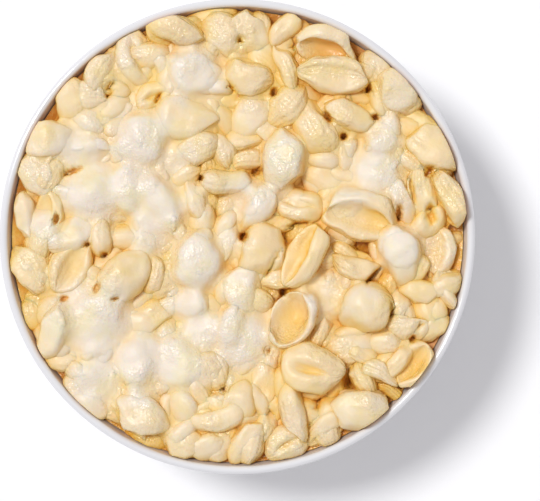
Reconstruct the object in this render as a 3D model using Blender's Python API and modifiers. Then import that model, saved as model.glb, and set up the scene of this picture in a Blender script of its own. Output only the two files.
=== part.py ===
"""Pasta shells in cheese sauce, heaped in a round white bowl.

Metres, +Z up. The origin is under the bowl's centre, on the surface it stands on.
Two solids: the glazed bowl, and the heap of pasta and sauce that fills it.
"""

import math

import bmesh
import bpy

# The bowl
RIM_RADIUS = 0.075
BOWL_HEIGHT = 0.058
LIP_THICKNESS = 0.0026
FLOOR_TOP = 0.006  # height of the inside's lowest point
UNDERSIDE = 0.0022  # height of the recessed base inside the foot ring
LIP_HEIGHT = BOWL_HEIGHT - LIP_THICKNESS / 2  # centre of the lip's rounding
CURVE_CENTRE = LIP_HEIGHT + 0.0185  # the wall's curves are centred above the rim
WALL_FULLNESS = 2.2  # exponent of the wall's curve: 2 is an ellipse, and more is squarer
WALL_BOTTOM = 0.0026  # where the outside's curve would end if it had no foot
FOOT_OUTER = 0.0325
FOOT_INNER = 0.0285
FOOT_EDGE = 0.0007  # rounding of the foot ring
TURN_STEPS = 72
WALL_STEPS = 11
LIP_STEPS = 6

# The heap
WALL_GAP = 0.0005
SHOULDER_DROP = 0.0035  # how far below the rim the heap meets the wall
CROWN_HEIGHT = 0.001  # how far the heap's dome rises above the rim, before its lumps
SHELL_LENGTH = 0.0185
SHELL_WIDTH = 0.0135
LUMP_HEIGHT = 0.0065
LUMP_COUNT = 84
HEAP_DETAIL = 5  # subdivisions of the icosphere that the heap starts from


def clear_scene():
    for item in list(bpy.data.objects):
        bpy.data.objects.remove(item, do_unlink=True)


def material(name, colour, roughness, subsurface=0.0):
    made = bpy.data.materials.new(name)
    made.use_nodes = True
    shader = made.node_tree.nodes["Principled BSDF"]
    shader.inputs["Base Color"].default_value = (*colour, 1.0)
    shader.inputs["Roughness"].default_value = roughness
    shader.inputs["Metallic"].default_value = 0.0
    shader.inputs["Subsurface Weight"].default_value = subsurface
    made.diffuse_color = (*colour, 1.0)
    return made


def wall_radius(height, rim_radius, bottom):
    """Radius of the wall's curve, which is rim_radius wide at the lip and meets the axis at bottom."""

    def width_share(at):
        depth_share = (CURVE_CENTRE - at) / (CURVE_CENTRE - bottom)
        return max(0.0, 1 - depth_share**WALL_FULLNESS) ** (1 / WALL_FULLNESS)

    return rim_radius * width_share(height) / width_share(LIP_HEIGHT)


def wall_points(rim_radius, bottom, low, high, steps):
    """Points up a wall from height low to height high, closer together where it curves in."""
    points = []
    for step in range(steps + 1):
        share = step / steps
        height = low + (high - low) * share**1.8
        points.append((wall_radius(height, rim_radius, bottom), height))
    return points


def bowl_profile():
    """Cross-section from the inside's centre, up and over the lip, and down to the underside."""
    lip = LIP_THICKNESS / 2
    inside = wall_points(RIM_RADIUS - LIP_THICKNESS, FLOOR_TOP, FLOOR_TOP, LIP_HEIGHT, WALL_STEPS)
    rounded = []
    for step in range(1, LIP_STEPS):
        angle = math.pi * (1 - step / LIP_STEPS)
        across = RIM_RADIUS - lip + lip * math.cos(angle)
        rounded.append((across, LIP_HEIGHT + lip * math.sin(angle)))
    foot_top = WALL_BOTTOM
    while wall_radius(foot_top, RIM_RADIUS, WALL_BOTTOM) < FOOT_OUTER + FOOT_EDGE:
        foot_top += 0.0001
    outside = wall_points(RIM_RADIUS, WALL_BOTTOM, foot_top, LIP_HEIGHT, WALL_STEPS - 2)[::-1]
    foot = [
        (FOOT_OUTER, foot_top - FOOT_EDGE),
        (FOOT_OUTER, FOOT_EDGE),
        (FOOT_OUTER - FOOT_EDGE, 0.0),
        (FOOT_INNER + FOOT_EDGE, 0.0),
        (FOOT_INNER, FOOT_EDGE),
        (FOOT_INNER, UNDERSIDE - FOOT_EDGE / 2),
        (FOOT_INNER - FOOT_EDGE, UNDERSIDE),
        (0.0, UNDERSIDE),
    ]
    return [(0.0, FLOOR_TOP), *inside[1:], *rounded, *outside, *foot]


def turned(name, profile):
    """A closed solid turned about Z from a profile that starts and ends on the axis."""
    mesh = bpy.data.meshes.new(name)
    places = [(radius, 0.0, height) for radius, height in profile]
    edges = [(i, i + 1) for i in range(len(places) - 1)]
    mesh.from_pydata(places, edges, [])
    made = bpy.data.objects.new(name, mesh)
    screw = made.modifiers.new("turn", "SCREW")
    screw.axis = "Z"
    screw.steps = TURN_STEPS
    screw.render_steps = TURN_STEPS
    screw.use_merge_vertices = True
    screw.merge_threshold = 0.00005
    screw.use_smooth_shade = True
    return made


def bowl():
    made = turned("bowl", bowl_profile())
    made.data.materials.append(material("white glaze", (0.86, 0.86, 0.85), 0.16))
    return made


def lump_places():
    """Shell-sized lumps in a sunflower pattern, so that they lie evenly, each turned its own way."""
    golden_angle = math.pi * (3 - math.sqrt(5))
    reach = RIM_RADIUS - LIP_THICKNESS - SHELL_WIDTH / 3
    places = []
    for number in range(LUMP_COUNT):
        radius = reach * math.sqrt((number + 0.5) / LUMP_COUNT)
        angle = golden_angle * number
        heading = 1.9 * number
        tallness = 0.8 + 0.2 * math.sin(2.4 * number)
        places.append((radius * math.cos(angle), radius * math.sin(angle), heading, tallness))
    return places


def lump_rise(x, y, lumps):
    """How far the lumps lift the heap's dome at a point."""
    rise = 0.0
    for lump_x, lump_y, heading, tallness in lumps:
        along = (x - lump_x) * math.cos(heading) + (y - lump_y) * math.sin(heading)
        across = (y - lump_y) * math.cos(heading) - (x - lump_x) * math.sin(heading)
        share = math.hypot(2 * along / SHELL_LENGTH, 2 * across / SHELL_WIDTH)
        if share < 1:
            rise = max(rise, tallness * math.sqrt(1 - share * share))
    return LUMP_HEIGHT * rise


def heap():
    """An icosphere whose lower half is pressed to the bowl's inside and whose upper half is the lumpy dome."""
    shaped = bmesh.new()
    bmesh.ops.create_icosphere(shaped, subdivisions=HEAP_DETAIL, radius=1.0)
    lumps = lump_places()
    inner_rim = RIM_RADIUS - LIP_THICKNESS
    shoulder = BOWL_HEIGHT - SHOULDER_DROP
    floor = FLOOR_TOP + WALL_GAP
    edge_radius = wall_radius(shoulder, inner_rim, FLOOR_TOP) - WALL_GAP
    for vertex in shaped.verts:
        ball_x, ball_y, ball_z = vertex.co
        outward = math.hypot(ball_x, ball_y)
        turn_x = ball_x / outward if outward > 0 else 0.0
        turn_y = ball_y / outward if outward > 0 else 0.0
        if ball_z > 0:
            radius = edge_radius * math.sqrt(1 - ball_z)
            x = radius * turn_x
            y = radius * turn_y
            share = radius / edge_radius
            dome = shoulder + (CROWN_HEIGHT + SHOULDER_DROP) * (1 - share**4)
            edge_fade = math.sqrt(1 - share**30)
            vertex.co = (x, y, dome + lump_rise(x, y, lumps) * edge_fade)
        else:
            depth = shoulder - (shoulder - floor) * abs(ball_z) ** 1.15
            radius = max(0.0, wall_radius(depth - WALL_GAP, inner_rim, FLOOR_TOP) - WALL_GAP)
            radius = min(radius, edge_radius)
            if outward < 1e-6:
                radius = 0.0
            vertex.co = (radius * turn_x, radius * turn_y, depth)
    mesh = bpy.data.meshes.new("mac_and_cheese")
    shaped.to_mesh(mesh)
    shaped.free()
    mesh.shade_smooth()
    made = bpy.data.objects.new("mac_and_cheese", mesh)
    mesh.materials.append(material("pasta in cheese sauce", (0.93, 0.79, 0.53), 0.38, 0.2))
    return made


def main():
    clear_scene()
    group = bpy.data.collections.new("mac and cheese")
    bpy.context.scene.collection.children.link(group)
    for made in (bowl(), heap()):
        group.objects.link(made)


main()
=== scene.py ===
# Pasta shells in white cheese sauce, heaped in a glazed bowl.
import math
import random

import bpy
import numpy as np
from mathutils import Matrix, Vector


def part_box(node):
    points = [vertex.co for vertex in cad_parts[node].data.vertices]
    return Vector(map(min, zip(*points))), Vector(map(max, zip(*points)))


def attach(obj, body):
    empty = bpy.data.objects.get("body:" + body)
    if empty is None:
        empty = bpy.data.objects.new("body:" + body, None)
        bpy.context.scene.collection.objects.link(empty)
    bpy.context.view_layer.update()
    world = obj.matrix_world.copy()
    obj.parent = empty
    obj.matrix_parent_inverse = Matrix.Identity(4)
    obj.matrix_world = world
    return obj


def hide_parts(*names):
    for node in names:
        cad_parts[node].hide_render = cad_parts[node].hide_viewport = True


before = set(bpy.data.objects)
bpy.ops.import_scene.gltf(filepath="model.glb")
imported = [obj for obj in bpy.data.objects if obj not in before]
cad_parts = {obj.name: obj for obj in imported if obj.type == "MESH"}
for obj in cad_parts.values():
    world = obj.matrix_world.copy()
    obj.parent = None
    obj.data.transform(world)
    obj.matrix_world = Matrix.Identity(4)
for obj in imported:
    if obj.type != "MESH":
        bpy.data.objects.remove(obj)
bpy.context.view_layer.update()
bowlLow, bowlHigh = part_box("bowl")

mm = 0.001
dice = random.Random(7)


def deselectAll():
    if bpy.context.mode != "OBJECT":
        bpy.ops.object.mode_set(mode="OBJECT")
    bpy.ops.object.select_all(action="DESELECT")


def pick(piece):
    deselectAll()
    piece.select_set(True)
    bpy.context.view_layer.objects.active = piece


def addModifier(piece, kind, **settings):
    modifier = piece.modifiers.new(kind.lower(), kind)
    for name, value in settings.items():
        setattr(modifier, name, value)
    return modifier


def applyModifiers(piece):
    pick(piece)
    for modifier in list(piece.modifiers):
        bpy.ops.object.modifier_apply(modifier=modifier.name)


def copyOf(piece, name):
    copy = piece.copy()
    copy.data = piece.data.copy()
    copy.name = name
    bpy.context.collection.objects.link(copy)
    return copy


def joined(pieces, name):
    deselectAll()
    for piece in pieces:
        piece.select_set(True)
    bpy.context.view_layer.objects.active = pieces[0]
    bpy.ops.object.join()
    whole = bpy.context.view_layer.objects.active
    whole.name = name
    whole.data.name = name
    bpy.ops.object.transform_apply(location=True, rotation=True, scale=True)
    return whole


def pointsOf(piece):
    flat = np.empty(len(piece.data.vertices) * 3)
    piece.data.vertices.foreach_get("co", flat)
    return flat.reshape(-1, 3)


def setPoints(piece, points):
    piece.data.vertices.foreach_set("co", points.ravel())
    piece.data.update()


def trianglesIn(piece):
    return sum(len(face.vertices) - 2 for face in piece.data.polygons)


bowlShape = {
    "lip": 2.6 * mm,  # thickness of the rim
    "floorTop": 6 * mm,
    "underside": 2.2 * mm,
    "curveRise": 18.5 * mm,  # the wall's curves are centred this far above the rim
    "fullness": 2.2,  # 2 is an ellipse, more is squarer
    "wallBottom": 2.6 * mm,
    "footOuter": 32.5 * mm,
    "footInner": 28.5 * mm,
    "footEdge": 0.7 * mm,
    "aroundSteps": 144,
    "wallSteps": 20,
    "lipSteps": 10,
    "stained": 4.5 * mm,  # how far below the lip the sauce's stain is at its full
}

rimRadius = bowlHigh.x
lipHeight = bowlHigh.z - bowlShape["lip"] / 2


def wallRadius(height, rim, bottom):
    centre = lipHeight + bowlShape["curveRise"]
    power = bowlShape["fullness"]

    def share(at):
        depth = (centre - at) / (centre - bottom)
        return max(0.0, 1 - depth ** power) ** (1 / power)

    return rim * share(height) / share(lipHeight)


def insideRadius(height):
    return wallRadius(min(height, lipHeight), rimRadius - bowlShape["lip"], bowlShape["floorTop"])


def outsideRadius(height):
    return wallRadius(height, rimRadius, bowlShape["wallBottom"])


def wallHeights(low, high, steps):
    return [low + (high - low) * (step / steps) ** 1.8 for step in range(steps + 1)]


def bowlRings():
    # radius and height of each ring, from inside the foot, up the outside, over the lip, to the floor
    foot, edge = bowlShape["footOuter"], bowlShape["footEdge"]
    inner, under = bowlShape["footInner"], bowlShape["underside"]
    rings = [(inner - edge, under), (inner, under - edge / 2), (inner, edge), (inner + edge, 0.0),
             (foot - edge, 0.0), (foot, edge)]
    footTop = bowlShape["wallBottom"]
    while outsideRadius(footTop) < foot + edge:
        footTop += 0.1 * mm
    rings.append((foot, footTop - edge))
    for height in wallHeights(footTop, lipHeight, bowlShape["wallSteps"]):
        rings.append((outsideRadius(height), height))
    half = bowlShape["lip"] / 2
    for step in range(1, bowlShape["lipSteps"]):
        turn = math.pi * step / bowlShape["lipSteps"]
        rings.append((rimRadius - half + half * math.cos(turn), lipHeight + half * math.sin(turn)))
    for height in reversed(wallHeights(bowlShape["floorTop"], lipHeight, bowlShape["wallSteps"])[1:]):
        rings.append((insideRadius(height), height))
    rings.append((0.0, bowlShape["floorTop"]))
    return rings


def stainWall(piece):
    # the sauce has dirtied the inside of the wall, most just above the food
    amounts = []
    for vertex in piece.data.vertices:
        inside = vertex.co.xy.length < insideRadius(vertex.co.z) + 0.5 * mm
        depth = (lipHeight - vertex.co.z) / bowlShape["stained"]
        amounts.append(min(1.0, max(0.0, depth)) if inside else 0.0)
    piece.data.attributes.new("stain", "FLOAT", "POINT").data.foreach_set("value", amounts)


def makeBowl():
    rings = bowlRings()
    radius, height = rings[0]
    deselectAll()
    bpy.ops.mesh.primitive_circle_add(vertices=bowlShape["aroundSteps"], radius=radius, fill_type="NGON",
                                      location=(0, 0, height))
    piece = bpy.context.active_object
    piece.name = "glazed_bowl"
    bpy.ops.object.transform_apply(location=True, rotation=True, scale=True)
    bpy.ops.object.mode_set(mode="EDIT")
    bpy.ops.mesh.select_mode(type="EDGE")
    for nextRadius, nextHeight in rings[1:]:
        bpy.ops.mesh.extrude_edges_move(TRANSFORM_OT_translate={"value": (0, 0, nextHeight - height)})
        scale = max(nextRadius / radius, 0.001)
        bpy.ops.transform.resize(value=(scale, scale, 1), center_override=(0, 0, 0))
        radius, height = max(nextRadius, radius * 0.001), nextHeight
    bpy.ops.mesh.select_all(action="SELECT")
    bpy.ops.mesh.remove_doubles(threshold=0.05 * mm)
    bpy.ops.mesh.normals_make_consistent(inside=False)
    bpy.ops.object.mode_set(mode="OBJECT")
    pick(piece)
    bpy.ops.object.shade_smooth_by_angle(angle=math.radians(50))
    stainWall(piece)
    return piece


shellShape = {
    "length": 18 * mm,
    "width": 13 * mm,
    "depth": 11 * mm,
    "filledSteps": 20,  # steps around; a row of corners lies along the top, which becomes the crease
    "openSteps": 24,
    "alongSteps": 14,
    "slitSide": 0.86,  # the side with the slit is this much flatter than the back
}

# Shells shut or filled with sauce. tips: 0.5 is a round end and more is pointed, first the -X end;
# body: 2 is a lens, more is blocky; section: 2 is round, less has a ridge along the back;
# crease: depth of the slit as a share of the shell; creaseAngle: half its width; reach: how far along it
# runs; lips: how far they swell beside it; flare: how much wider the +X end is
filledKinds = {
    "oval": {"tips": (0.5, 0.6), "body": 2.4, "section": 2.5, "crease": 0.6, "creaseAngle": 7,
             "reach": 0.8, "lips": 0.08, "flare": 0.03},
    "lens": {"tips": (0.72, 0.78), "body": 2.2, "section": 2.4, "crease": 0.6, "creaseAngle": 7,
             "reach": 0.85, "lips": 0.08, "flare": 0.0},
    "egg": {"tips": (0.7, 0.48), "body": 2.6, "section": 2.5, "crease": 0.65, "creaseAngle": 7,
            "reach": 0.9, "lips": 0.09, "flare": 0.12},
    "creased": {"tips": (0.64, 0.58), "body": 2.5, "section": 1.9, "crease": 0.75, "creaseAngle": 7,
                "reach": 0.9, "lips": 0.1, "flare": 0.06},
    "bean": {"tips": (0.62, 0.5), "body": 2.3, "section": 2.2, "crease": 0.9, "creaseAngle": 7,
             "reach": 0.66, "lips": 0.14, "flare": 0.03},
}

# Shells that lie open. opening: half the angle the lips leave free; dish: how deep the inside is below them
openKinds = {
    "cup": {"tips": (0.5, 0.5), "body": 2.3, "section": 2.0, "opening": 62, "reach": 0.9, "dish": 6 * mm,
            "flare": 0.06},
    "boat": {"tips": (0.6, 0.54), "body": 2.2, "section": 2.0, "opening": 39, "reach": 0.86, "dish": 4.0 * mm,
             "flare": 0.0},
    "dished": {"tips": (0.64, 0.6), "body": 2.1, "section": 2.0, "opening": 42, "reach": 0.84, "dish": 2.0 * mm,
               "flare": 0.0},
}


def startShell(name, aroundSteps):
    deselectAll()
    bpy.ops.mesh.primitive_uv_sphere_add(segments=aroundSteps, ring_count=shellShape["alongSteps"], radius=1)
    piece = bpy.context.active_object
    piece.name = name
    bpy.ops.object.mode_set(mode="EDIT")
    bpy.ops.transform.rotate(value=math.pi / 2, orient_axis="Y", center_override=(0, 0, 0))
    bpy.ops.mesh.select_mode(type="FACE")
    bpy.ops.mesh.select_all(action="DESELECT")
    bpy.ops.object.mode_set(mode="OBJECT")
    return piece


def bodyRadius(kind, x, angle):
    # of a shell from -1 to 1 along x; the angle goes from 0 at the slit to pi at the back
    tip = kind["tips"][0] if x < 0 else kind["tips"][1]
    radius = max(0.0, 1 - abs(x) ** kind["body"]) ** tip
    power = kind["section"]
    radius /= (abs(math.sin(angle)) ** power + abs(math.cos(angle)) ** power) ** (1 / power)
    return radius * (1 + kind["flare"] * x)


def placeOnShell(x, angle, radius):
    flat = 1 if math.cos(angle) < 0 else shellShape["slitSide"]
    return (x * shellShape["length"] / 2, math.sin(angle) * radius * shellShape["width"] / 2,
            math.cos(angle) * radius * flat * shellShape["depth"] / 2)


def markRidges(piece):
    # how far round from the slit each point is: the fine lengthwise ridges follow it
    attribute = piece.data.attributes.new("aroundShell", "FLOAT", "POINT")
    attribute.data.foreach_set("value", [abs(math.atan2(vertex.co.y, vertex.co.z)) for vertex in piece.data.vertices])


def makeFilled(name):
    kind = filledKinds[name]
    piece = startShell(name, shellShape["filledSteps"])
    markRidges(piece)
    width = math.radians(kind["creaseAngle"])
    for vertex in piece.data.vertices:
        x, y, z = vertex.co
        angle = math.atan2(y, z)
        angle *= 0.35 + 0.65 * min(1.0, abs(angle) / math.radians(60))  # closer rows beside the slit
        radius = bodyRadius(kind, x, angle)
        along = max(0.0, 1 - (abs(x) / kind["reach"]) ** 2)
        radius *= 1 - kind["crease"] * along ** 0.7 * math.exp(-(angle / width) ** 4)
        radius *= 1 + kind["lips"] * along * math.exp(-((abs(angle) - 1.6 * width) / (0.6 * width)) ** 2)
        vertex.co = placeOnShell(x, angle, radius)
    return piece


def makeOpen(name):
    # the top eighth on each side of the slit becomes the inside, and the rest the outside
    kind = openKinds[name]
    piece = startShell(name, shellShape["openSteps"])
    markRidges(piece)
    edge = math.pi / 4
    for vertex in piece.data.vertices:
        x, y, z = vertex.co
        angle = math.atan2(y, z)
        side = 1 if angle >= 0 else -1
        almond = max(0.0, 1 - abs(x / kind["reach"]) ** 2.4) ** 0.6
        lip = math.radians(12 + (kind["opening"] - 12) * almond)
        if abs(angle) > edge:
            outer = side * (lip + (abs(angle) - edge) / (math.pi - edge) * (math.pi - lip))
            vertex.co = placeOnShell(x, outer, bodyRadius(kind, x, outer))
        else:
            across = angle / edge
            lipX, lipY, lipZ = placeOnShell(x, lip, bodyRadius(kind, x, lip))
            vertex.co = (lipX, lipY * across, lipZ - kind["dish"] * almond * (1 - abs(across) ** 2.3))
    return piece


def makeMasters():
    masters = {name: makeFilled(name) for name in filledKinds}
    masters["buried"] = copyOf(masters["oval"], "buried")
    for name in openKinds:
        masters[name] = makeOpen(name)
    for name, piece in masters.items():
        if name != "buried":
            addModifier(piece, "SUBSURF", levels=1, render_levels=1)
            applyModifiers(piece)
        pick(piece)
        bpy.ops.object.shade_smooth()
    return masters


# Shells that lie back up: kind, x and y in mm, heading in degrees, length and width in mm, layer.
# The heading is the way the +X end points, and layer 0 is lowest.
backUpShells = [
    # far left
    ("oval", -24.5, 55, 115, 14, 9, 1), ("lens", 51.5, 12, 115, 16, 8.5, 2), ("lens", 58, 14, 97, 18, 8.5, 2),
    ("egg", -19, 64, 165, 18, 12, 2), ("lens", -43, 51, 60, 17, 12, 1), ("oval", -52, 43, 100, 16, 11, 1),
    ("oval", -28, 45, 15, 14, 9, 1), ("lens", -39.5, 39, 25, 15, 10, 1),
    ("oval", -41.5, 33, 80, 9, 7, 1), ("oval", -30, 30.5, 100, 17, 14, 2), ("egg", -58, 30.5, 185, 17, 11, 2),
    ("oval", -45, 14, 20, 18, 12, 2), ("oval", -12.5, 28, 20, 13, 10, 2),
    ("egg", -63, 19.5, 125, 17, 11, 1), ("oval", -66.5, 6.5, 100, 15, 9, 1), 
    ("oval", -54.5, 11, 70, 10, 7, 1), ("lens", -52, 0.5, 25, 17, 10.5, 2), ("oval", -42, 0, 100, 13, 10, 2),
    ("oval", -44.5, 6.5, 10, 18, 9, 1), ("oval", -34, 16.5, 95, 17, 11, 2), ("oval", -30, -1, 60, 16, 12, 1),
    ("egg", -64.5, -10.5, 120, 17, 12, 1), ("oval", -60.5, -18, 20, 16, 9, 0),
    # top
    ("oval", -4.5, 63.5, 150, 18, 12.5, 1), ("oval", -8, 68.5, 5, 18, 9, 0), ("oval", -13, 51, 165, 20, 14, 2),
    ("egg", -16, 38, 170, 20, 13, 2), ("egg", 3.5, 64, 120, 17, 12, 1), ("egg", 15.5, 64.5, 50, 14, 11, 1),
    ("egg", 4, 50.5, 165, 15, 12, 2), ("lens", 15, 52.5, 112, 16, 9, 2), ("lens", 16, 41.5, 50, 17, 10.5, 2),
    ("oval", 4, 38, 60, 17, 12, 1), ("creased", 24, 34.5, 120, 20, 12, 2), ("oval", -1, 28, 60, 11, 9, 0),
    ("oval", 15, 24.5, 86, 18.5, 13, 3), ("lens", 5.5, 26, 60, 15, 10, 0), ("oval", -20, 25.5, 80, 12, 9, 1),
    # top right
    ("creased", 36, 39, 150, 17, 12.5, 2), ("oval", 43, 52.5, 105, 13, 10, 1),
    ("egg", 50, 45, 130, 15, 11.5, 2), ("oval", 49, 50.5, 135, 13, 8, 0), ("oval", 47.5, 36.5, 0, 11, 8, 0),
    ("creased", 58.5, 35, 160, 14, 9, 1), ("egg", 61.5, 27.5, 140, 18, 12, 2), ("creased", 35, 26, 80, 14, 10, 1),
    ("oval", 46.5, 28.5, 30, 12, 10, 2), ("oval", 43.5, 20, 20, 16, 11.5, 2), ("lens", 67, 12, 115, 20, 12, 2),
    # middle
    ("oval", -25, 10.5, 115, 22, 12, 2), ("lens", -19, 13.5, 115, 17, 9, 1), ("lens", -13.5, 11, 105, 17, 8, 2),
    ("egg", -3, 18, 172, 17, 11.5, 2), ("lens", 28, 18.5, 145, 19, 11, 1), ("oval", 6.5, 9, 60, 16, 12, 2),
    ("oval", -12.5, -8, 76, 20, 12, 3), ("oval", 8, -4, 82, 17, 14, 2), ("oval", 1.5, -16.5, 100, 16, 12, 2),
    ("oval", -3, -2, 60, 16, 11, 1), ("oval", -13, -21, 10, 13, 10, 2), ("oval", -24, -15, 25, 15, 10, 1),
    ("oval", 10, -17, 80, 13, 8, 0), ("oval", 28, -15.5, 150, 15, 10, 1), ("oval", 28.5, -6, 110, 12, 9, 1),
    ("oval", 33.5, 0, 20, 12, 8, 1),
    # right
    ("oval", 54.5, 1, 60, 12, 9, 1), ("oval", 51.5, -5, 112, 19, 12, 3), ("lens", 37, -8.5, 172, 16, 12, 2),
    ("oval", 40.5, -22.5, 15, 16, 15, 3), ("oval", 57.5, -17.5, 175, 12, 7.5, 2), ("egg", 66.5, -17, 110, 14, 9, 1),
    ("creased", 51.5, -26, 100, 14, 9, 1), ("creased", 61, -29.5, 35, 14, 7, 1),
    ("creased", 62, -23.5, 120, 11, 8, 1), ("oval", 56, -10.5, 60, 11, 7, 2),
    # bottom left
    ("oval", -65, -24.5, 110, 12, 8, 0), ("egg", -58, -30, 70, 17.5, 12.5, 2), ("lens", -54.5, -38.5, 10, 14, 8, 1),
    ("oval", -45, -25.5, 10, 20, 14.5, 2), ("oval", -46.5, -12.5, 65, 14, 8, 1),
    ("creased", -35.5, -12.5, 45, 17.5, 13, 3), ("creased", -29, -25.5, 10, 17, 12, 1),
    ("oval", -42.5, -38, 30, 14, 11, 1), ("oval", -30.5, -39.5, 80, 20, 12, 2), ("egg", -47, -49.5, 125, 17.5, 12, 1),
    ("lens", -40.5, -56, 150, 14, 8, 0), ("egg", -30, -56, 150, 17.5, 12, 2), ("lens", -28, -63, 155, 17, 9, 0),
    # bottom
    ("oval", -1.5, -27.5, 80, 15, 11, 2), ("oval", -18.5, -39.5, 82, 19.5, 13, 2),
    ("creased", -9.5, -42.5, 110, 15, 11, 2), ("oval", -21.5, -53, 80, 12, 9, 1), ("oval", -16.5, -56.5, 70, 13, 9, 1),
    ("lens", -17, -64.5, 155, 16, 10.5, 1), ("lens", -9.5, -61, 165, 13, 7, 0), ("creased", -6, -66, 30, 11, 9, 1),
    ("creased", 3.5, -64.5, 55, 17, 11.5, 1), ("oval", 9, -46, 70, 17, 11, 1), ("oval", 1, -52, 75, 14, 11, 2),
    ("oval", 2, -34, 20, 15, 12, 1), ("oval", 12.5, -37, 60, 12, 9, 1), ("oval", 26, -29.5, 60, 13, 9, 1),
    # bottom right
    ("creased", 36.5, -35, 12, 21, 12, 1), ("egg", 45, -43.5, 155, 12, 9, 2), ("lens", 39, -54.5, 176, 19, 12.5, 2),
    ("egg", 18.5, -54.5, 102, 19, 11.5, 2), ("creased", 28, -60.5, 35, 14, 10, 1), ("oval", 35, -46, 100, 13, 9, 0),
    ("oval", 48, -49.5, 150, 13, 7, 0), ("oval", 50, -38.5, 55, 13, 8.5, 2),
]

# Shells that show their slit or their inside, with two more columns: roll and tilt in degrees. Roll 0 has
# the slit up, and more leans it to the right of the heading.
slitUpShells = [
    ("cup", 17, -26, 62, 18, 13.5, 3, -24, 0), ("boat", 21, -6, 60, 21, 12.5, 3, -46, 0),
    ("boat", 56, -40.5, 55, 14.5, 12, 2, -14, 0), ("boat", 39, 6.5, 165, 23, 16, 3, -24, 0),
    ("dished", 30.5, 51, 172, 21.5, 12, 3, -6, 0), ("boat", 28.5, 59.5, 160, 19, 13, 2, -34, 0),
    ("dished", 63.5, -4.5, 80, 15, 11.5, 1, -12, 0), ("dished", -52.5, -9.5, 55, 17.5, 12, 2, 4, 0),
    ("bean", 23.5, -42, 168, 19, 15, 3, 0, 0), ("bean", 20, 9.5, 170, 14, 10.5, 2, 8, 0),
    ("bean", -7, -55.5, 15, 18, 12, 2, -30, 0), ("bean", 15, -65.5, 30, 14, 10.5, 1, 16, 0),
    ("bean", -32, 56.5, 105, 17, 12.5, 1, 14, 0), ("dished", -60, 6.5, 80, 15, 10, 2, -30, 0),
    ("dished", -49.5, 25, 12, 21, 11.5, 2, 26, 0), ("bean", -26, 44.5, 20, 11, 8, 2, 0, 0),
]

# Gaps between the shells that go deep: x and y, width, length, heading and depth.
deepGaps = [
    (-11.5, 18.5, 2, 2, 0, 5), (2, 0, 2.8, 3.2, 40, 6), (-47.5, -2.5, 1.8, 2.2, 0, 4),
    (-42, -6, 2.2, 3, 60, 5), (-44, -16, 2.2, 4, 60, 2.4),
    (-54.5, -19.5, 2, 3, 20, 3), (-38, -19.5, 1.5, 3.4, 10, 3), (14.5, -17.5, 2.2, 2.8, 80, 5),
    (19, 4, 1.5, 8, 8, 4.5), (11.5, -8, 1.4, 11, 62, 3.5), (60.5, 20.5, 3.2, 4.5, 60, 5.5),
    (61, 6.5, 3.6, 8, 95, 6), (51, 7.5, 2.2, 5.5, 90, 5.5), (55, 14.5, 1.6, 10, 100, 3.5),
    (42.5, -12.5, 1.5, 7, 48, 5), (48.5, -24, 1.4, 8, 92, 3.5), (35, -46, 3.6, 6, 30, 2.5),
    (57.5, -28, 2.2, 3.4, 60, 5), (55.5, -32, 2.2, 3.4, 60, 5), (10.5, -56, 2.6, 4.5, 80, 3),
    (25.5, -53, 2.2, 5, 70, 3.5), (-4, -48, 2, 3, 20, 5), (9.5, -36, 2, 3, 70, 4.5),
    (33.5, 31.5, 2.2, 2.2, 0, 5.5), (-52, 20.5, 1.8, 8, 20, 3), (-25, 43.5, 1.6, 4, 60, 3.5),
    (-40, 46.5, 2, 6.5, 65, 5), (1, 62, 2.2, 2.6, 0, 5), (17.5, 61, 2.6, 3.2, 40, 5.5),
    (-1.5, 46.5, 1.5, 6, -53, 5), (11.5, 45.5, 2.2, 3, 60, 5), (6, 20.5, 2.6, 3.6, 30, 5),
    (41.5, 46.5, 2.2, 3, 60, 5), (28.5, 37.5, 2, 3.6, 120, 5), (43.5, 37.5, 2.2, 2.8, 0, 5),
    (-57, 5.5, 2, 4, 80, 5), 
]


heap = {
    "middleHeight": 55.5 * mm,  # height of a layer 2 shell's middle, at the heap's centre
    "edgeRise": 1.8 * mm,  # how much higher it is at the wall
    "layerStep": [-5.0 * mm, -2.6 * mm, 0.0, 2.4 * mm],
    "sink": 1.5 * mm,  # how far soft shells press into what they lie on
    "slack": 1.5 * mm,
    "pressed": 1.3 * mm,  # how much lower shells lie under the deepest sauce
    "cell": 0.75 * mm,
    "fillCount": 250,
    "fillDrop": 2.9 * mm,
    "clearance": 8.5 * mm,  # this near the middle of an open shell the shells under it lie deeper
    "underOpen": 4.2 * mm,
    "gapDepth": 0.85,
    "wallGap": 0.25 * mm,
    "wallShare": 0.0,  # how much of a shell's reach past the wall moves it in; the rest is pressed flat
}

# how much one shell may differ from the next
liveliness = {
    "depth": (0.7, 0.84),  # as a share of the width
    "sideBend": 0.14,
    "backBend": 0.16,
    "twist": 20,
    "taper": 0.14,
    "roll": 14,
    "tilt": 8,
    "flats": 3,
    "flatAt": (0.78, 0.94),  # as a share of the shell's reach that way
    "flatness": 0.85,
    "size": 1.1,
    "coating": (-0.35, 0.3),  # how much more white sauce a shell has than what lies round it
    "slitShows": 0.45,  # how many of the shells lying back up are rolled so that the slit shows at one side
}


def heapHeight(x, y):
    share = math.hypot(x, y) / rimRadius
    return heap["middleHeight"] + heap["edgeRise"] * share ** 3


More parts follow.
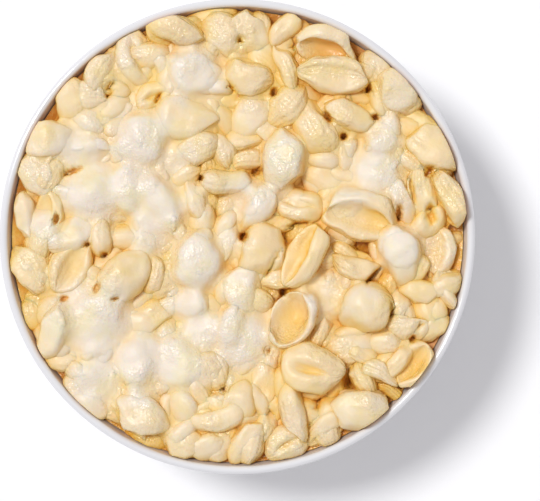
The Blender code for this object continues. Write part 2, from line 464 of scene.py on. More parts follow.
class Ground:
    # heights of what lies already, on a square grid
    def __init__(self, level):
        self.cells = int(2 * rimRadius / heap["cell"]) + 2
        self.heights = np.full((self.cells, self.cells), level)

    def index(self, x, y):
        row = np.clip(((x + rimRadius) / heap["cell"]).astype(int), 0, self.cells - 1)
        column = np.clip(((y + rimRadius) / heap["cell"]).astype(int), 0, self.cells - 1)
        return row, column

    def at(self, x, y):
        return self.heights[self.index(x, y)]

    def rest(self, points):
        # how high the points must be lifted to clear the ground
        return float(np.max(self.at(points[:, 0], points[:, 1]) - points[:, 2]))

    def add(self, points):
        np.maximum.at(self.heights, self.index(points[:, 0], points[:, 1]), points[:, 2])


def livelyPoints(master, length, width):
    # the master's points at the shell's own size, a little bent, twisted and tapered
    depth = width * dice.uniform(*liveliness["depth"])
    size = np.array([length / shellShape["length"], width / shellShape["width"], depth / shellShape["depth"]])
    points = pointsOf(master) * size * liveliness["size"]
    along = points[:, 0] / (length / 2)
    swell = 1 + dice.uniform(-1, 1) * liveliness["taper"] * along
    turn = np.radians(dice.uniform(-1, 1) * liveliness["twist"]) * along
    y = (points[:, 1] * np.cos(turn) - points[:, 2] * np.sin(turn)) * swell
    z = (points[:, 1] * np.sin(turn) + points[:, 2] * np.cos(turn)) * swell
    arch = (along ** 2 - 0.3) * length / 2
    y += dice.uniform(-1, 1) * liveliness["sideBend"] * arch
    z += dice.uniform(0, 1) * liveliness["backBend"] * arch
    return np.column_stack([points[:, 0], y, z])


def pressedFlat(points, slitUp):
    # soft shells are flat where others lie against them: on their sides, and on top unless the slit is there
    count = 1 if slitUp else liveliness["flats"]
    presses = [(dice.uniform(0, 2 * math.pi), dice.uniform(0, 0.1 if slitUp else 0.9)) for flat in range(count)]
    if not slitUp:
        presses.append((dice.uniform(0, 2 * math.pi), dice.uniform(1.3, 1.5)))
    middle = points.mean(axis=0)
    for turn, lift in presses:
        facing = np.array([math.cos(turn) * math.cos(lift), math.sin(turn) * math.cos(lift), math.sin(lift)])
        reach = (points - middle) @ facing
        excess = reach - reach.max() * dice.uniform(*liveliness["flatAt"])
        points = points - np.outer(np.maximum(0, excess) * liveliness["flatness"], facing)
    return points


def turnedPoints(points, heading, roll, tilt):
    turn = (Matrix.Rotation(math.radians(heading), 3, "Z") @ Matrix.Rotation(math.radians(-tilt), 3, "Y")
            @ Matrix.Rotation(math.radians(roll), 3, "X"))
    return points @ np.array(turn).T


def roughen(piece, name, size, strength, direction="NORMAL", depth=2):
    # soft unevenness, different on every shell because it follows the place in the bowl
    texture = bpy.data.textures.new(name, "CLOUDS")
    texture.noise_basis = "IMPROVED_PERLIN"
    texture.noise_scale = size
    texture.noise_depth = depth
    addModifier(piece, "DISPLACE", texture=texture, strength=strength, mid_level=0.5, direction=direction,
                texture_coords="LOCAL")


def crumple(piece, name, size, strength, where=""):
    # rounded bumps with sharp valleys between them, or with less than no strength, dents with ridges
    texture = bpy.data.textures.new(name, "VORONOI")
    texture.noise_scale = size
    addModifier(piece, "DISPLACE", texture=texture, strength=-strength, mid_level=0.5, direction="NORMAL",
                texture_coords="LOCAL", vertex_group=where)


def holdInside(piece):
    # presses what would pass through the bowl's wall flat against it
    points = pointsOf(piece)
    heights = np.linspace(bowlShape["floorTop"] + mm, lipHeight, 60)
    reach = np.interp(points[:, 2], heights, [insideRadius(height) for height in heights]) - heap["wallGap"]
    away = np.hypot(points[:, 0], points[:, 1])
    points[:, :2] *= np.minimum(1, reach / np.maximum(away, mm))[:, None]
    setPoints(piece, points)


def openGaps(piece):
    # presses the food down where the gaps are
    points = pointsOf(piece)
    for x, y, width, length, heading, depth in deepGaps:
        turn = math.radians(heading)
        east, north = points[:, 0] - x * mm, points[:, 1] - y * mm
        along = (east * math.cos(turn) + north * math.sin(turn)) / (length * mm / 2)
        across = (north * math.cos(turn) - east * math.sin(turn)) / (width * mm / 2)
        points[:, 2] -= depth * mm * np.clip(1.4 - 1.2 * (along ** 2 + across ** 2), 0, 1) * heap["gapDepth"]
    setPoints(piece, points)


def nearerMiddle(points, height):
    # moves a shell that reaches past the wall part of the way in
    away = np.hypot(points[:, 0], points[:, 1])
    reach = insideRadius(height + 2 * mm) - heap["wallGap"]
    excess = float(np.max(away - reach))
    if excess > 0:
        middle = points[:, :2].mean(axis=0)
        points[:, :2] -= middle / np.hypot(*middle) * excess * heap["wallShare"]
    return points


def fillOrders():
    # shells under the top ones, spread like seeds in a sunflower
    golden = math.pi * (3 - math.sqrt(5))
    openRows = [row for row in slitUpShells if row[0] in openKinds]
    orders = []
    for number in range(heap["fillCount"]):
        away = (rimRadius - 8 * mm) * math.sqrt((number + 0.5) / heap["fillCount"])
        x, y = away * math.cos(golden * number), away * math.sin(golden * number)
        target = heapHeight(x, y) - heap["fillDrop"] + dice.uniform(-1.3, 1.3) * mm
        if any(math.hypot(x - row[1] * mm, y - row[2] * mm) < heap["clearance"] for row in openRows):
            target -= heap["underOpen"]
        orders.append(("buried", x, y, dice.uniform(0, 180), 13.5 * mm, 9.5 * mm, dice.uniform(90, 270),
                       dice.uniform(-15, 15), target))
    return orders


def topOrders():
    rows = [row + (180, 0) for row in backUpShells] + list(slitUpShells)
    orders = []
    for kind, x, y, heading, length, width, layer, roll, tilt in sorted(rows, key=lambda row: row[6]):
        x, y = x * mm, y * mm
        target = heapHeight(x, y) + heap["layerStep"][layer]
        target -= heap["pressed"] * float(poolDepth(np.array([[x, y]]), saucePools)[0])
        loose = 1 if roll == 180 else 0.4
        if roll == 180 and layer < 3 and dice.random() < liveliness["slitShows"]:
            roll += dice.choice((-1, 1)) * dice.uniform(95, 128)
        orders.append((kind, x, y, heading, length * mm, width * mm,
                       roll + dice.uniform(-1, 1) * liveliness["roll"] * loose,
                       tilt + dice.uniform(-1, 1) * liveliness["tilt"] * loose, target))
    return orders


def layShells(masters):
    ground = Ground(heapHeight(0, 0) - 14 * mm)
    laid = {name: [] for name in masters}
    for kind, x, y, heading, length, width, roll, tilt, target in fillOrders() + topOrders():
        points = turnedPoints(livelyPoints(masters[kind], length, width), heading, roll, tilt)
        points = pressedFlat(points, abs(roll) < 60)
        points = nearerMiddle(points + np.array([x, y, 0]), target)
        height = ground.rest(points) - heap["sink"]
        points[:, 2] += min(max(height, target - heap["slack"]), target + heap["slack"])
        shell = copyOf(masters[kind], kind + "_laid")
        setPoints(shell, points)
        coating = [dice.uniform(*liveliness["coating"])] * len(points)
        shell.data.attributes.new("coating", "FLOAT", "POINT").data.foreach_set("value", coating)
        ground.add(points)
        laid[kind].append(shell)
    return laid


def finishShells(name, shells):
    piece = joined(shells, name + "_shells")
    roughen(piece, name + " dents", 9 * mm, 2.4 * mm, "RGB_TO_XYZ", 1)
    crumple(piece, name + " folds", 8 * mm, (0.7 if name in ("oval", "buried") else -1.0) * mm)
    roughen(piece, name + " wrinkles", 2.6 * mm, 0.65 * mm)
    crumple(piece, name + " creases", 4.5 * mm, -0.4 * mm)
    applyModifiers(piece)
    openGaps(piece)
    holdInside(piece)
    print(piece.name + ":", trianglesIn(piece), "triangles")
    return piece


# Where the sauce pools: x, y and reach in mm, and how deep it covers the shells, from 0 to 1.
saucePools = [
    (-45, 14.5, 11, 0.9), (-33, 15.5, 10, 0.9), (-30, 30.5, 10, 0.9), (-49, 26.5, 9, 0.7), (-25, 8.5, 10, 0.9),
    (-13, -8, 10, 0.9), (-45, -26, 13, 1.0), (-36, -25, 6, 0.5), (-30, -39, 10, 0.9), (-19, -39, 10, 0.9),
    (-11, -30, 8, 0.8), (1, -32, 11, 0.8), (-44, -45, 9, 0.7), (-14, 51.5, 10, 0.7), (4, 11.5, 8, 0.6),
    (14.5, 24.5, 8, 0.6), (-27, 0, 8, 0.6), (-43, 1.5, 6, 0.4), (51.5, -4, 8, 0.8), (34.5, 11.5, 8, 0.6),
    (43.5, 20.5, 9, 0.8), (27.5, -19, 8, 0.7), (-60.5, 3.5, 6, 0.7), (-2, -3, 7, 0.5), (45.5, 30.5, 7, 0.7),
    (-14, 11.5, 6, 0.5), (-15, -21, 7, 0.7), (-21, 24.5, 7, 0.6), (30.5, -21, 6, 0.6), (56.5, -3, 5, 0.5),
    (-11, -42, 7, 0.4), (-30, -47, 6, 0.7), (1, -17, 7, 0.4), (12.5, 15.5, 6, 0.5),
    (38.5, -20, 7, 0.45),
]

# And where it only closes the gaps between the shells.
thinPools = [
    (-45, 40, 9, 0.45), (-52, 34, 8, 0.45), (-37, 49, 8, 0.45), (-23, 53, 8, 0.4), (-62, 20, 7, 0.4),
    (-9, 40, 8, 0.45), (-2, 60, 8, 0.4), (-62, -14, 7, 0.4), (-57, -32, 8, 0.4), (-38, -55, 8, 0.4),
    (-22, -60, 7, 0.35), (33, 30, 7, 0.45), (8, 44, 8, 0.4), (47, 40, 8, 0.35), (1, -46, 8, 0.4),
]

sauce = {
    "voxel": 0.62 * mm,
    "bridge": 2.2 * mm,  # where it pools it bridges gaps narrower than twice this
    "bareBridge": 0.15,  # and elsewhere this share of it
    "under": 1.5 * mm,  # where it is thin it lies under the shells' own surface
    "over": 0.55 * mm,  # where it pools it stands over them
    "bottom": 44 * mm,
    "poolTop": 4.1 * mm,  # how far the deepest pools stand over the middles of the shells in them
    "poolDepth": 3.2 * mm,
    "atWall": 54.6 * mm,  # how high it stands at the bowl's wall, between the shells
    "mostTriangles": 190000,
}


def poolDepth(points, pools):
    # 0 to 1 over the points
    depth = np.zeros(len(points))
    for x, y, reach, strength in pools:
        away = np.hypot(points[:, 0] - x * mm, points[:, 1] - y * mm) / (reach * mm)
        depth = np.maximum(depth, strength * np.clip(1.6 - 1.2 * away, 0, 1))
    return depth


def makeCore():
    deselectAll()
    top = sauce["atWall"]
    rings = [(insideRadius(height) - 0.5 * mm, height)
             for height in wallHeights(bowlShape["floorTop"] + 0.5 * mm, top, 12)][1:]
    radius, height = rings[0]
    bpy.ops.mesh.primitive_circle_add(vertices=72, radius=radius, fill_type="NGON", location=(0, 0, height))
    piece = bpy.context.active_object
    piece.name = "sauce_core"
    bpy.ops.object.transform_apply(location=True, rotation=True, scale=True)
    bpy.ops.object.mode_set(mode="EDIT")
    bpy.ops.mesh.select_mode(type="EDGE")
    for nextRadius, nextHeight in rings[1:]:
        bpy.ops.mesh.extrude_edges_move(TRANSFORM_OT_translate={"value": (0, 0, nextHeight - height)})
        scale = nextRadius / radius
        bpy.ops.transform.resize(value=(scale, scale, 1), center_override=(0, 0, 0))
        radius, height = nextRadius, nextHeight
    for share, rise in ((0.965, -0.5), (0.91, -3.5), (0.75, -0.3), (0.5, 0.2), (0.25, 0.2), (0.02, 0.1)):
        scale = share * rings[-1][0] / radius
        bpy.ops.mesh.extrude_edges_move(TRANSFORM_OT_translate={"value": (0, 0, rise * mm)})
        bpy.ops.transform.resize(value=(scale, scale, 1), center_override=(0, 0, 0))
        radius *= scale
    bpy.ops.mesh.edge_face_add()
    bpy.ops.mesh.select_all(action="SELECT")
    bpy.ops.mesh.normals_make_consistent(inside=False)
    bpy.ops.object.mode_set(mode="OBJECT")
    pick(piece)
    bpy.ops.object.shade_smooth_by_angle(angle=math.radians(50))
    return piece


def weighPools(piece):
    # how much each point takes part: in the bridging, in the pools, and in the thin film between them
    depth = poolDepth(pointsOf(piece), saucePools + thinPools)
    shares = {"bridge": sauce["bareBridge"] + (1 - sauce["bareBridge"]) * depth, "pools": depth,
              "bare": 1 - np.minimum(1, depth * 1.5)}
    for name, values in shares.items():
        group = piece.vertex_groups.get(name) or piece.vertex_groups.new(name=name)
        for number, amount in enumerate(values):
            group.add([number], float(amount), "REPLACE")


def makePool(x, y, reach, strength):
    # a flat drop that fills the hollows between the shells
    deselectAll()
    bpy.ops.mesh.primitive_uv_sphere_add(segments=24, ring_count=12, radius=1)
    piece = bpy.context.active_object
    piece.name = "pool"
    bpy.ops.object.mode_set(mode="EDIT")
    bpy.ops.transform.resize(value=(0.95 * reach * mm, 0.95 * reach * mm, sauce["poolDepth"]))
    top = heapHeight(x * mm, y * mm) + sauce["poolTop"] * strength
    bpy.ops.transform.translate(value=(x * mm, y * mm, top - sauce["poolDepth"]))
    bpy.ops.object.mode_set(mode="OBJECT")
    return piece


def makeSauce(shellPieces, core):
    pools = [makePool(*pool) for pool in saucePools if pool[3] > 0.5]
    piece = joined([copyOf(item, "sauce_start") for item in shellPieces + [core]] + pools, "cheese_sauce")
    addModifier(piece, "REMESH", mode="VOXEL", voxel_size=sauce["voxel"] * 1.25)
    applyModifiers(piece)
    weighPools(piece)
    addModifier(piece, "DISPLACE", strength=sauce["bridge"], mid_level=0, vertex_group="bridge")
    addModifier(piece, "REMESH", mode="VOXEL", voxel_size=sauce["voxel"] * 1.25)
    addModifier(piece, "SMOOTH", factor=0.5, iterations=2)
    applyModifiers(piece)
    weighPools(piece)
    addModifier(piece, "DISPLACE", strength=-sauce["bridge"], mid_level=0, vertex_group="bridge")
    addModifier(piece, "REMESH", mode="VOXEL", voxel_size=sauce["voxel"])
    applyModifiers(piece)
    weighPools(piece)
    addModifier(piece, "SMOOTH", factor=0.5, iterations=22, vertex_group="pools")
    addModifier(piece, "SMOOTH", factor=0.5, iterations=2)
    roughen(piece, "sauce film", 5 * mm, 0.9 * mm)
    crumple(piece, "sauce lumps", 7 * mm, 0.7 * mm, "pools")
    addModifier(piece, "DISPLACE", strength=sauce["over"], mid_level=0, vertex_group="pools")
    addModifier(piece, "DISPLACE", strength=-sauce["under"], mid_level=0, vertex_group="bare")
    applyModifiers(piece)
    piece = trimmedSauce(piece)
    share = sauce["mostTriangles"] / trianglesIn(piece)
    print("sauce before thinning:", trianglesIn(piece), "triangles")
    if share < 1:
        addModifier(piece, "DECIMATE", ratio=share)
        applyModifiers(piece)
    openGaps(piece)
    holdInside(piece)
    pick(piece)
    bpy.ops.object.shade_smooth()
    print("sauce:", trianglesIn(piece), "triangles")
    return piece


def trimmedSauce(piece):
    # cut flat at the bottom, without what is shut inside
    pick(piece)
    bpy.ops.object.mode_set(mode="EDIT")
    bpy.ops.mesh.select_all(action="SELECT")
    bpy.ops.mesh.bisect(plane_co=(0, 0, sauce["bottom"]), plane_no=(0, 0, 1), clear_inner=True, use_fill=True)
    bpy.ops.mesh.select_all(action="SELECT")
    bpy.ops.mesh.separate(type="LOOSE")
    bpy.ops.object.mode_set(mode="OBJECT")
    parts = sorted(bpy.context.selected_objects, key=trianglesIn)
    biggest = parts.pop()
    for item in parts:
        bpy.data.objects.remove(item, do_unlink=True)
    biggest.name = "cheese_sauce"
    return biggest


# How much sky each point of the food sees. The food's colour paints this in as shade: dark orange-brown where little
# sky is seen, pale where much is.
skyLook = {
    "directions": 12,
    "distances": (1.2 * mm, 2.2 * mm, 3.6 * mm, 5.5 * mm, 8 * mm, 12 * mm),
    "grain": 0.35 * mm,  # rises smaller than this don't count
    "covered": 2.5 * mm,  # a point this far under the top sees no sky
    "around": 7,  # cells on each side over which the heap's height is evened out
    "standing": (-3.0 * mm, 2.2 * mm),
    # how much of the painted shade comes from lying lower than the heap round about
    "standingShadeShare": 0.45,
    "leastInShell": 0.17,  # an open shell's own inside is painted no darker than this
    "insideShadeShare": 0.92,  # painted shade: its inside is darker and more golden than its outside
    "poolSpread": 1.25,  # a pool is white nearly out to its edge
    "steepShadeShare": 0.56,  # painted shade: steep sides get a darker, more golden colour
}


def roomAbove(pieces):
    # heights of all the food and the bowl's rim, with holes between points filled from beside them
    ground = Ground(sauce["bottom"])
    for piece in pieces:
        ground.add(pointsOf(piece))
    heights = ground.heights
    padded = np.pad(heights, 1, mode="edge")
    around = [padded[1 + row:1 + row + len(heights), 1 + column:1 + column + len(heights)]
              for row in (-1, 0, 1) for column in (-1, 0, 1)]
    heights = np.where(heights <= sauce["bottom"], np.max(around, axis=0), heights)
    middles = (np.arange(ground.cells) + 0.5) * heap["cell"] - rimRadius
    away = np.hypot(middles[:, None], middles[None, :])
    ground.heights = np.where(away > rimRadius - bowlShape["lip"], np.maximum(heights, bowlHigh.z), heights)
    return ground


def openness(points, ground):
    # the share of the sky that each point sees, from 0 to 1
    seen = np.zeros(len(points))
    for step in range(skyLook["directions"]):
        turn = 2 * math.pi * step / skyLook["directions"]
        rise = np.zeros(len(points))
        for distance in skyLook["distances"]:
            height = ground.at(points[:, 0] + distance * math.cos(turn), points[:, 1] + distance * math.sin(turn))
            rise = np.maximum(rise, (height - points[:, 2] - skyLook["grain"]) / distance)
        seen += 1 - rise / np.sqrt(1 + rise ** 2)
    seen /= skyLook["directions"]
    # painted shade: a point under the top of the heap sees less sky
    under = (ground.at(points[:, 0], points[:, 1]) - points[:, 2] - skyLook["grain"]) / skyLook["covered"]
    return seen * (1 - np.clip(under, 0, 1) * 0.85)


def evenGround(ground):
    # the same heights, evened out over a few cells
    even = Ground(0)
    heights = ground.heights
    for turn in range(2):
        padded = np.pad(heights, ((skyLook["around"], skyLook["around"]), (0, 0)), mode="edge")
        heights = np.mean([padded[step:step + len(heights)] for step in range(2 * skyLook["around"] + 1)], axis=0).T
    even.heights = heights
    return even


def standing(points, even):
    # 0 in the hollows and 1 on the tops, against the height all round; the hollows are painted in shade from it
    low, high = skyLook["standing"]
    return np.clip((points[:, 2] - even.at(points[:, 0], points[:, 1]) - low) / (high - low), 0, 1)


def addSauceAndShadeAttributes(pieces):
    # sauceDepth is how white the sauce really is; openness is painted into the colour as shade
    ground = roomAbove(pieces)
    even = evenGround(ground)
    for piece in pieces:
        points = pointsOf(piece)
        # painted shade: places lower than the heap round them are painted darker
        share = skyLook["standingShadeShare"]
        seen = openness(points, ground)
        seen = np.minimum(seen * 1.6, (1 - share) * seen + share * standing(points, even))
        # painted shade: steep sides are painted darker and more golden
        normals = np.empty(len(points) * 3, dtype=np.float32)
        piece.data.vertices.foreach_get("normal", normals)
        steep = np.clip((0.92 - normals[2::3]) / 0.8, 0, 1)
        seen *= 1 - skyLook["steepShadeShare"] * steep
        # painted shade inside open shells, with a floor so that it stays fairly bright
        if piece.name.split("_")[0] in openKinds:
            around = np.empty(len(points), dtype=np.float32)
            piece.data.attributes["aroundShell"].data.foreach_get("value", around)
            seen = np.where(around < 0.72, seen * skyLook["insideShadeShare"], seen)
            seen = np.maximum(seen, skyLook["leastInShell"])
        print(piece.name, "openness at 5, 25, 50, 75 %:", np.percentile(seen, (5, 25, 50, 75)).round(2))
        depth = np.minimum(1, skyLook["poolSpread"] * poolDepth(points, saucePools))
        if "coating" in piece.data.attributes:
            coating = np.empty(len(points), dtype=np.float32)
            piece.data.attributes["coating"].data.foreach_get("value", coating)
            depth += coating
        for name, values in (("sauceDepth", depth), ("openness", seen)):
            attribute = piece.data.attributes.new(name, "FLOAT", "POINT")
            attribute.data.foreach_set("value", values.astype(np.float32))


def newGroup(name, inputs, outputs):
    group = bpy.data.node_groups.new(name, "ShaderNodeTree")
    for socketName, kind, value in inputs:
        socket = group.interface.new_socket(socketName, in_out="INPUT", socket_type=kind)
        if value is not None:
            socket.default_value = value
    for socketName, kind in outputs:
        group.interface.new_socket(socketName, in_out="OUTPUT", socket_type=kind)
    return group, group.nodes.new("NodeGroupInput"), group.nodes.new("NodeGroupOutput")


def noiseNode(nodes, scale, detail=2.0, roughness=0.5):
    noise = nodes.new("ShaderNodeTexNoise")
    noise.inputs["Scale"].default_value = scale
    noise.inputs["Detail"].default_value = detail
    noise.inputs["Roughness"].default_value = roughness
    return noise


def mathNode(nodes, links, operation, first, second, clamp=False):
    node = nodes.new("ShaderNodeMath")
    node.operation = operation
    node.use_clamp = clamp
    for socket, value in zip(node.inputs, (first, second)):
        if isinstance(value, (int, float)):
            socket.default_value = value
        else:
            links.new(value, socket)
    return node.outputs[0]


def rampNode(nodes, links, factor, stops):
    ramp = nodes.new("ShaderNodeValToRGB")
    ramp.color_ramp.elements.remove(ramp.color_ramp.elements[1])
    for number, (place, colour) in enumerate(stops):
        element = ramp.color_ramp.elements[0] if number == 0 else ramp.color_ramp.elements.new(place)
        element.position = place
        element.color = (*colour, 1)
    links.new(factor, ramp.inputs["Fac"])
    return ramp.outputs["Color"]


def mixNode(nodes, links, blend, factor, first, second):
    mix = nodes.new("ShaderNodeMix")
    mix.data_type = "RGBA"
    mix.blend_type = blend
    if isinstance(factor, float):
        mix.inputs["Factor"].default_value = factor
    else:
        links.new(factor, mix.inputs["Factor"])
    links.new(first, mix.inputs["A"])
    links.new(second, mix.inputs["B"])
    return mix.outputs["Result"]


# painted shade: colours from what sees least sky, dark orange-brown, to what sees most, pale; on thinly coated pasta
# and in deep sauce
foodColours = {
    "pasta": [(0.04, (0.60, 0.25, 0.03)), (0.13, (0.80, 0.44, 0.06)), (0.28, (0.83, 0.555, 0.15)),
              (0.5, (0.85, 0.622, 0.265)), (0.8, (0.84, 0.668, 0.395))],
    "milk": [(0.04, (0.64, 0.32, 0.08)), (0.13, (0.80, 0.53, 0.23)), (0.28, (0.84, 0.635, 0.38)),
             (0.5, (0.835, 0.695, 0.49)), (0.8, (0.80, 0.722, 0.60))],
    "pinker": (1.0, 0.985, 1.0),  # what the colour is multiplied by where it is least yellow
    "yellower": (1.0, 0.985, 0.84),
    "patchScale": 130,
    "patchSpread": 1.1,
    "patchStart": -0.36,
}


def makeFoodColourGroup():
    group, start, end = newGroup(
        "food colour",
        [("Place", "NodeSocketVector", None), ("Openness", "NodeSocketFloat", 1.0),
         ("Sauce", "NodeSocketFloat", 0.0), ("Patches", "NodeSocketFloat", 1.0)],
        [("Colour", "NodeSocketColor"), ("Milk", "NodeSocketFloat")])
    nodes, links = group.nodes, group.links
    patches = noiseNode(nodes, foodColours["patchScale"], 4, 0.6)
    links.new(start.outputs["Place"], patches.inputs["Vector"])
    spread = mathNode(nodes, links, "MULTIPLY", start.outputs["Patches"], foodColours["patchSpread"])
    patch = mathNode(nodes, links, "MULTIPLY", patches.outputs["Fac"], spread)
    based = mathNode(nodes, links, "ADD", patch, foodColours["patchStart"])
    milk = mathNode(nodes, links, "ADD", based, start.outputs["Sauce"], clamp=True)
    # painted shade: the colour darkens to orange-brown where the point sees little sky
    pasta = rampNode(nodes, links, start.outputs["Openness"], foodColours["pasta"])
    white = rampNode(nodes, links, start.outputs["Openness"], foodColours["milk"])
    coated = mixNode(nodes, links, "MIX", milk, pasta, white)
    tints = noiseNode(nodes, foodColours["patchScale"] * 0.8, 3, 0.55)
    moved = nodes.new("ShaderNodeMapping")
    moved.inputs["Location"].default_value = (0.3, 0.1, 0.2)
    links.new(start.outputs["Place"], moved.inputs["Vector"])
    links.new(moved.outputs["Vector"], tints.inputs["Vector"])
    tint = rampNode(nodes, links, tints.outputs["Fac"],
                    [(0.36, foodColours["pinker"]), (0.5, (1, 1, 1)), (0.64, foodColours["yellower"])])
    tinted = mixNode(nodes, links, "MULTIPLY", 1.0, coated, tint)
    links.new(tinted, end.inputs["Colour"])
    links.new(milk, end.inputs["Milk"])
    return group


def makeFineBumpsGroup():
    # two sizes of unevenness in one height
    group, start, end = newGroup(
        "fine bumps",
        [("Place", "NodeSocketVector", None), ("Wide", "NodeSocketFloat", 300.0),
         ("Narrow", "NodeSocketFloat", 1200.0), ("Narrow share", "NodeSocketFloat", 0.3),
         ("Ridge", "NodeSocketFloat", 0.0), ("Ridge share", "NodeSocketFloat", 0.0)],
        [("Height", "NodeSocketFloat")])
    nodes, links = group.nodes, group.links
    wide, narrow, calm = noiseNode(nodes, 1, 2), noiseNode(nodes, 1, 2), noiseNode(nodes, 70, 1)
    links.new(start.outputs["Place"], calm.inputs["Vector"])
    for noise, name in ((wide, "Wide"), (narrow, "Narrow")):
        links.new(start.outputs["Place"], noise.inputs["Vector"])
        links.new(start.outputs[name], noise.inputs["Scale"])
    small = mathNode(nodes, links, "MULTIPLY", narrow.outputs["Fac"], start.outputs["Narrow share"])
    both = mathNode(nodes, links, "ADD", wide.outputs["Fac"], small)
    lively = nodes.new("ShaderNodeMapRange")
    for name, value in (("From Min", 0.42), ("From Max", 0.62), ("To Min", 0.25), ("To Max", 1.5)):
        lively.inputs[name].default_value = value
    links.new(calm.outputs["Fac"], lively.inputs["Value"])
    uneven = mathNode(nodes, links, "MULTIPLY", both, lively.outputs["Result"])
    wave = mathNode(nodes, links, "SINE", mathNode(nodes, links, "MULTIPLY", start.outputs["Ridge"], 2 * math.pi), 0)
    ridge = mathNode(nodes, links, "MULTIPLY", wave, start.outputs["Ridge share"])
    ridge = mathNode(nodes, links, "MULTIPLY", ridge, lively.outputs["Result"])
    links.new(mathNode(nodes, links, "ADD", uneven, ridge), end.inputs["Height"])
    return group


groups = {"foodColour": makeFoodColourGroup(), "fineBumps": makeFineBumpsGroup()}


def newMaterial(name):
    made = bpy.data.materials.new(name)
    made.use_nodes = True
    return made, made.node_tree.nodes, made.node_tree.links


def placeGroup(nodes, links, group, links_in=(), **values):
    node = nodes.new("ShaderNodeGroup")
    node.node_tree = groups[group]
    for name, value in values.items():
        node.inputs[name].default_value = value
    for name, source in links_in:
        links.new(source, node.inputs[name])
    return node


def addBumps(nodes, links, place, shader, wide, narrow, narrowShare, strength, distance, ridge=()):
    bumps = placeGroup(nodes, links, "fineBumps", [("Place", place), *ridge],
                       **{"Wide": wide, "Narrow": narrow, "Narrow share": narrowShare})
    bump = nodes.new("ShaderNodeBump")
    bump.inputs["Strength"].default_value = strength
    bump.inputs["Distance"].default_value = distance
    links.new(bumps.outputs["Height"], bump.inputs["Height"])
    links.new(bump.outputs["Normal"], shader.inputs["Normal"])
    return bumps


def addRoughness(nodes, links, height, shader, low, high):
    spread = nodes.new("ShaderNodeMapRange")
    for name, value in (("From Min", 0.3), ("From Max", 0.9), ("To Min", low), ("To Max", high)):
        spread.inputs[name].default_value = value
    links.new(height, spread.inputs["Value"])
    links.new(spread.outputs["Result"], shader.inputs["Roughness"])


def foodMaterial(name, finish):
    made, nodes, links = newMaterial(name)
    shader = nodes["Principled BSDF"]
    place = nodes.new("ShaderNodeTexCoord").outputs["Object"]
    sauceDepth = nodes.new("ShaderNodeAttribute")
    sauceDepth.attribute_name = "sauceDepth"
    # how much sky the point sees, which the colour paints in as shade
    seen = nodes.new("ShaderNodeAttribute")
    seen.attribute_name = "openness"
    colour = placeGroup(nodes, links, "foodColour",
                        [("Place", place), ("Openness", seen.outputs["Fac"]), ("Sauce", sauceDepth.outputs["Fac"])],
                        Patches=finish["patches"])
    links.new(colour.outputs["Colour"], shader.inputs["Base Color"])
    around = nodes.new("ShaderNodeAttribute")
    around.attribute_name = "aroundShell"
    ridge = mathNode(nodes, links, "MULTIPLY", around.outputs["Fac"], finish["ridges"] / math.pi)
    bare = mathNode(nodes, links, "SUBTRACT", 1, colour.outputs["Milk"], clamp=True)
    ridgeShare = mathNode(nodes, links, "MULTIPLY", bare, finish["ridgeShare"])
    bumps = addBumps(nodes, links, place, shader, 450, 1400, 0.45, finish["bump"], 0.5 * mm,
                     [("Ridge", ridge), ("Ridge share", ridgeShare)])
    addRoughness(nodes, links, bumps.outputs["Height"], shader, *finish["roughness"])
    shader.inputs["Specular IOR Level"].default_value = 0.5
    shader.inputs["Subsurface Weight"].default_value = 0.5
    shader.inputs["Subsurface Radius"].default_value = (1.0, 0.75, 0.45)
    shader.inputs["Subsurface Scale"].default_value = 0.8 * mm
    return made


def glazeMaterial(name, colour, stainColour):
    made, nodes, links = newMaterial(name)
    shader = nodes["Principled BSDF"]
    place = nodes.new("ShaderNodeTexCoord").outputs["Object"]
    stain = nodes.new("ShaderNodeAttribute")
    stain.attribute_name = "stain"
    stained = rampNode(nodes, links, stain.outputs["Fac"], [(0, colour), (0.3, (0.78, 0.74, 0.7)), (1, stainColour)])
    links.new(stained, shader.inputs["Base Color"])
    bumps = addBumps(nodes, links, place, shader, 60, 500, 0.06, 0.15, 0.6 * mm)
    addRoughness(nodes, links, bumps.outputs["Height"], shader, 0.1, 0.2)
    shader.inputs["Coat Weight"].default_value = 0.4
    shader.inputs["Coat Roughness"].default_value = 0.06
    return made


def floorMaterial(name, colour):
    made, nodes, links = newMaterial(name)
    shader = nodes["Principled BSDF"]
    shader.inputs["Base Color"].default_value = (*colour, 1)
    shader.inputs["Roughness"].default_value = 0.8
    shader.inputs["Specular IOR Level"].default_value = 0.2
    return made


view = {
    "distance": 748 * mm,  # above the rim
    "aside": (10.3 * mm, -4.4 * mm),  # the bowl stands left of the picture's middle and above it
    "pictureWidth": 170.1 * mm,  # what the picture's width takes in, at the rim
}


def makeCamera():
    camera = bpy.data.objects.new("camera", bpy.data.cameras.new("camera"))
    bpy.context.collection.objects.link(camera)
    camera.location = (*view["aside"], bowlHigh.z + view["distance"])
    camera.data.lens = camera.data.sensor_width * view["distance"] / view["pictureWidth"]
    camera.data.clip_start = 0.01
    bpy.context.scene.camera = camera


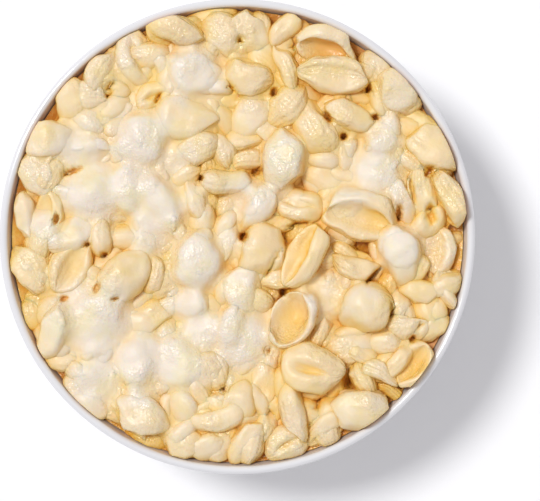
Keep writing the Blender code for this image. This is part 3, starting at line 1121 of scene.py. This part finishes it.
light = {
    "from": (-0.39, 0.245, 0.89),
    "sunStrength": 1.85,
    "sunAngle": 13,
    "skyStrength": 0.6,
    "sky": (0.98, 0.965, 0.99),
    "floorColour": (0.92, 0.92, 0.93),
}


def makeStudio():
    sun = bpy.data.objects.new("window_light", bpy.data.lights.new("window_light", "SUN"))
    bpy.context.collection.objects.link(sun)
    sun.rotation_euler = Vector(light["from"]).to_track_quat("Z", "Y").to_euler()
    sun.data.energy = light["sunStrength"]
    sun.data.angle = math.radians(light["sunAngle"])
    world = bpy.data.worlds.new("studio")
    world.use_nodes = True
    bpy.context.scene.world = world
    background = world.node_tree.nodes["Background"]
    background.inputs["Color"].default_value = (*light["sky"], 1)
    background.inputs["Strength"].default_value = light["skyStrength"]
    deselectAll()
    bpy.ops.mesh.primitive_plane_add(size=4, location=(0, 0, 0))
    floor = bpy.context.active_object
    floor.name = "floor"
    floor.data.materials.append(floorMaterial("pale floor", light["floorColour"]))
    bpy.context.scene.view_settings.view_transform = "Standard"


bowl = makeBowl()
bowl.data.materials.append(glazeMaterial("white glaze", (0.74, 0.74, 0.76), (0.84, 0.69, 0.5)))
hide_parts("bowl")
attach(bowl, "root")
print("bowl:", trianglesIn(bowl), "triangles")

masters = makeMasters()
laid = layShells(masters)
for master in masters.values():
    bpy.data.objects.remove(master, do_unlink=True)
shellPieces = [finishShells(name, shells) for name, shells in laid.items()]
core = makeCore()
sauceBody = makeSauce(shellPieces, core)

addSauceAndShadeAttributes(shellPieces + [sauceBody, core])
pastaMaterial = foodMaterial("pasta in sauce", {"patches": 1.0, "bump": 1.0, "roughness": (0.42, 0.16), "ridges": 7,
                                                "ridgeShare": 0.12})
sauceMaterial = foodMaterial("white cheese sauce", {"patches": 0.8, "bump": 0.8, "roughness": (0.5, 0.24), "ridges": 0,
                                                      "ridgeShare": 0.0})
for piece in shellPieces:
    piece.data.materials.clear()
    piece.data.materials.append(pastaMaterial)
for piece in (sauceBody, core):
    piece.data.materials.clear()
    piece.data.materials.append(sauceMaterial)
for piece in shellPieces + [sauceBody, core]:
    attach(piece, "root")
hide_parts("mac_and_cheese")

makeCamera()
makeStudio()
